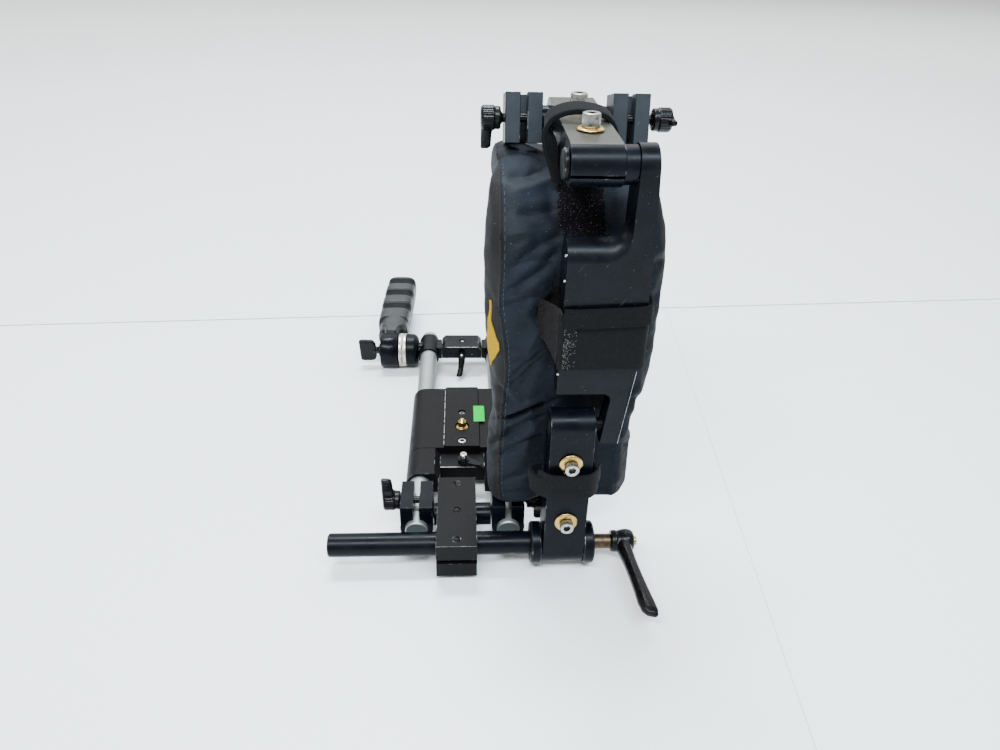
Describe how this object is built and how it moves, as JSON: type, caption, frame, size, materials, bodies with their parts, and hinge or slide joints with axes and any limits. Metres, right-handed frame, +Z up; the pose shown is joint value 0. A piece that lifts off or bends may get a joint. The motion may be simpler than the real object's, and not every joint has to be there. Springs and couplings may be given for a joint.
{
  "type": "cinema camera rig",
  "caption": "Shoulder-mount camera rig: 15 mm rods, clamp brackets, camera base plate, offset tube, folding padded shoulder brace and a tilting rear handgrip.",
  "frame": {"origin": "bottom centre of the whole rig's bounding box", "axes": "+X to the operator's right across the rods, +Y along the rods from the offset tube to the handgrip, +Z up along the shoulder brace"},
  "size_m": [0.2128, 0.4162, 0.2785],
  "materials": {
    "rod_anodised": "clear anodised satin aluminium",
    "charcoal_anodised": "warm black hard-anodised milled aluminium, worn bright at its edges",
    "black_anodised": "black anodised aluminium with a cool satin sheen",
    "brass": "turned brass",
    "bright_steel": "bright machined steel",
    "black_oxide": "black oxide steel",
    "moulded_plastic": "black glass-filled plastic",
    "grip_rubber": "dark grey ribbed rubber",
    "pad_nylon": "navy-black coated nylon over foam",
    "hook_and_loop": "black webbing with hook-and-loop faces"
  },
  "bodies": {
    "rods": {"left_rod": "rod_anodised", "right_rod": "rod_anodised", "front_left_clamp": "black_anodised", "front_right_clamp": "black_anodised", "front_crossbar": "black_anodised", "offset_block": "charcoal_anodised", "offset_block_screw": "black_oxide"},
    "offset_tube": {"offset_tube": "black_anodised", "inner_collar": "black_anodised", "outer_collar": "black_anodised", "lever_stud": "brass"},
    "ratchet_lever": {"ratchet_lever": "moulded_plastic", "lever_screw": "brass"},
    "lower_link": {"lower_link": "black_anodised", "lower_lower_washer": "brass", "lower_upper_washer": "brass", "lower_lower_screw": "bright_steel", "lower_upper_screw": "bright_steel", "lower_strap": "hook_and_loop", "pad_lower": "pad_nylon"},
    "mid_link": {"mid_link": "black_anodised", "lower_hinge_pin": "black_oxide", "upper_hinge_pin": "black_oxide", "upper_hinge_spacer": "black_anodised", "main_strap": "hook_and_loop", "pad_middle": "pad_nylon"},
    "top_link": {"top_link": "black_anodised", "top_lower_washer": "brass", "top_upper_washer": "brass", "top_lower_screw": "bright_steel", "top_upper_screw": "bright_steel", "top_strap": "hook_and_loop", "pad_upper": "pad_nylon"},
    "top_bracket": {"top_left_clamp": "black_anodised", "top_right_clamp": "black_anodised", "top_crossbar": "black_anodised"},
    "front_left_knob": {"front_left_knob": "moulded_plastic"},
    "front_right_knob": {"front_right_knob": "moulded_plastic"},
    "top_left_knob": {"top_left_knob": "moulded_plastic"},
    "top_right_knob": {"top_right_knob": "moulded_plastic"},
    "base_plate": {"base_plate": "charcoal_anodised", "plate_cap_screw": "black_oxide", "plate_lock_screw": "black_oxide", "base_lock_body": "charcoal_anodised"},
    "base_lock_lever": {"base_lock_lever": "black_oxide", "base_lock_screw": "bright_steel"},
    "camera_screw": {"camera_screw": "brass"},
    "rear_bracket": {"rear_left_clamp": "black_anodised", "rear_right_clamp": "black_anodised", "accessory_block": "black_anodised", "rosette_boss": "black_anodised"},
    "rear_clamp_lever": {"rear_clamp_lever": "moulded_plastic"},
    "handgrip": {"grip_core": "moulded_plastic", "grip_sleeve": "grip_rubber", "rosette_ring": "bright_steel"},
    "grip_thumbscrew": {"grip_thumbscrew": "moulded_plastic"}
  },
  "joints": [
    {"name": "tube_slide", "type": "slide", "parent": "rods", "child": "offset_tube", "axis": [1, 0, 0], "range_m": [-0.004, 0.045]},
    {"name": "brace_pivot", "type": "hinge", "parent": "offset_tube", "child": "lower_link", "pos_m": [0.05058, -0.1481, 0.0155], "axis": [1, 0, 0], "range_deg": [0, 45]},
    {"name": "lower_hinge", "type": "hinge", "parent": "lower_link", "child": "mid_link", "pos_m": [0.05058, -0.1481, 0.1085], "axis": [1, 0, 0], "range_deg": [-12, 35]},
    {"name": "upper_hinge", "type": "hinge", "parent": "mid_link", "child": "top_link", "pos_m": [0.05058, -0.1481, 0.2585], "axis": [1, 0, 0], "range_deg": [-12, 40]},
    {"name": "ratchet_lever_turn", "type": "hinge", "parent": "offset_tube", "child": "ratchet_lever", "pos_m": [0.08282, -0.1481, 0.0155], "axis": [1, 0, 0], "range_deg": [-85, 12]},
    {"name": "front_left_knob_turn", "type": "hinge", "parent": "rods", "child": "front_left_knob", "pos_m": [-0.06457, -0.1206, 0.0284], "axis": [1, 0, 0], "continuous": true},
    {"name": "front_right_knob_turn", "type": "hinge", "parent": "rods", "child": "front_right_knob", "pos_m": [0.03943, -0.1206, 0.0284], "axis": [1, 0, 0], "range_deg": [-30, 80]},
    {"name": "top_bracket_tilt", "type": "hinge", "parent": "top_link", "child": "top_bracket", "pos_m": [0.05058, -0.0551, 0.2585], "axis": [1, 0, 0], "range_deg": [-2, 20]},
    {"name": "top_left_knob_turn", "type": "hinge", "parent": "top_bracket", "child": "top_left_knob", "pos_m": [-0.00162, -0.06761, 0.26162], "axis": [1, 0, 0], "continuous": true},
    {"name": "top_right_knob_turn", "type": "hinge", "parent": "top_bracket", "child": "top_right_knob", "pos_m": [0.10637, -0.06761, 0.26162], "axis": [1, 0, 0], "continuous": true},
    {"name": "base_plate_slide", "type": "slide", "parent": "rods", "child": "base_plate", "axis": [0, 1, 0], "range_m": [-0.007, 0.034]},
    {"name": "base_lock_turn", "type": "hinge", "parent": "base_plate", "child": "base_lock_lever", "pos_m": [-0.01158, -0.0721, 0.0155], "axis": [0, 0, 1], "range_deg": [-5, 40]},
    {"name": "camera_screw_turn", "type": "hinge", "parent": "base_plate", "child": "camera_screw", "pos_m": [-0.01257, -0.0346, 0.0155], "axis": [0, 0, 1], "continuous": true},
    {"name": "rear_bracket_slide", "type": "slide", "parent": "rods", "child": "rear_bracket", "axis": [0, 1, 0], "range_m": [-0.034, 0.006]},
    {"name": "rear_lever_turn", "type": "hinge", "parent": "rear_bracket", "child": "rear_clamp_lever", "pos_m": [-0.01257, 0.0879, 0.0185], "axis": [0, 1, 0], "range_deg": [-60, 60]},
    {"name": "grip_tilt", "type": "hinge", "parent": "rear_bracket", "child": "handgrip", "pos_m": [-0.07888, 0.1019, 0.0155], "axis": [1, 0, 0], "range_deg": [-50, 160]},
    {"name": "grip_thumbscrew_turn", "type": "hinge", "parent": "rear_bracket", "child": "grip_thumbscrew", "pos_m": [-0.08687, 0.1019, 0.0155], "axis": [1, 0, 0], "continuous": true}
  ]
}
